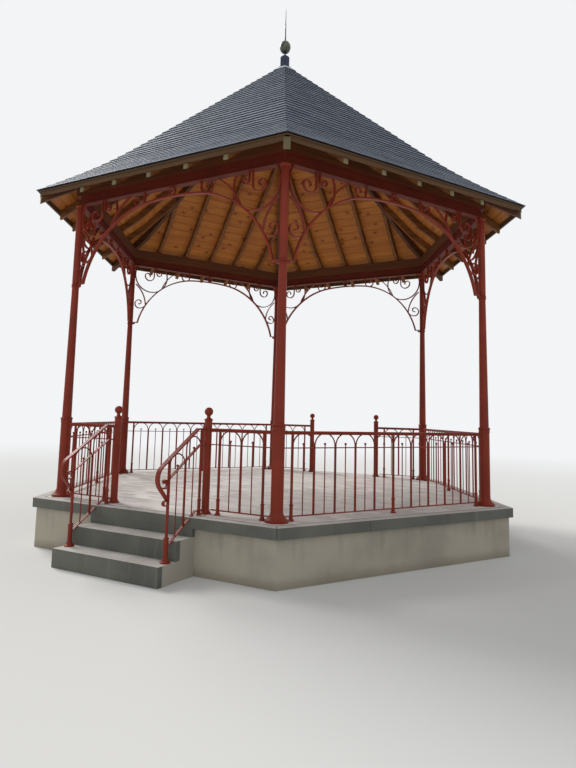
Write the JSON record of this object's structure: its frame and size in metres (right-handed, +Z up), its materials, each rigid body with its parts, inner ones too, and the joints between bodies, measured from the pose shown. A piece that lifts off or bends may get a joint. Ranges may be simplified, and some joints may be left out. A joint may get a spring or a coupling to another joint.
{
  "type": "bandstand",
  "caption": "Open six-sided bandstand: stone plinth with a short stair, iron columns, hairpin railings, scrolled arches and a slated pyramid roof with a ball finial.",
  "frame": {"origin": "on the ground under the axis of the roof", "axes": "+Z up along the axis, -Y out through the stair, +X to the right of someone who faces the stair from outside"},
  "size_m": [7.0964, 6.4585, 8.1725],
  "materials": {
    "render": "rough cement render, cream grey",
    "paving": "concrete paving blocks, grey with a pink cast",
    "stone": "sawn grey stone, matt",
    "iron": "oxide red paint, satin",
    "beam": "oxide red paint, matt",
    "timber": "dark brown stain",
    "boards": "honey coloured varnish",
    "slate": "natural blue grey slate",
    "zinc": "dark weathered zinc",
    "bronze": "weathered bronze"
  },
  "bodies": {
    "root": {"plinth": "render", "floor_paving": "paving", "coping": "stone", "stair_step_1": "stone", "stair_step_2": "stone", "stair_riser_3": "stone", "column_1": "iron", "column_2": "iron", "column_3": "iron", "column_4": "iron", "column_5": "iron", "column_6": "iron", "railing_2": "iron", "railing_3": "iron", "railing_5": "iron", "railing_6": "iron", "railing_front_left": "iron", "railing_front_right": "iron", "railing_back_left": "iron", "railing_back_right": "iron", "newel_posts": "iron", "stair_rail_left": "iron", "stair_rail_right": "iron", "arch_1": "iron", "arch_2": "iron", "arch_3": "iron", "arch_4": "iron", "arch_5": "iron", "arch_6": "iron", "ring_beam": "beam", "wall_plates": "timber", "hip_rafters": "timber", "rafters": "timber", "roof_boards": "boards", "eave_boards": "boards", "slates_1": "slate", "slates_2": "slate", "slates_3": "slate", "slates_4": "slate", "slates_5": "slate", "slates_6": "slate", "king_post": "timber", "finial_pedestal": "zinc", "finial_ball": "bronze"}
  },
  "joints": []
}
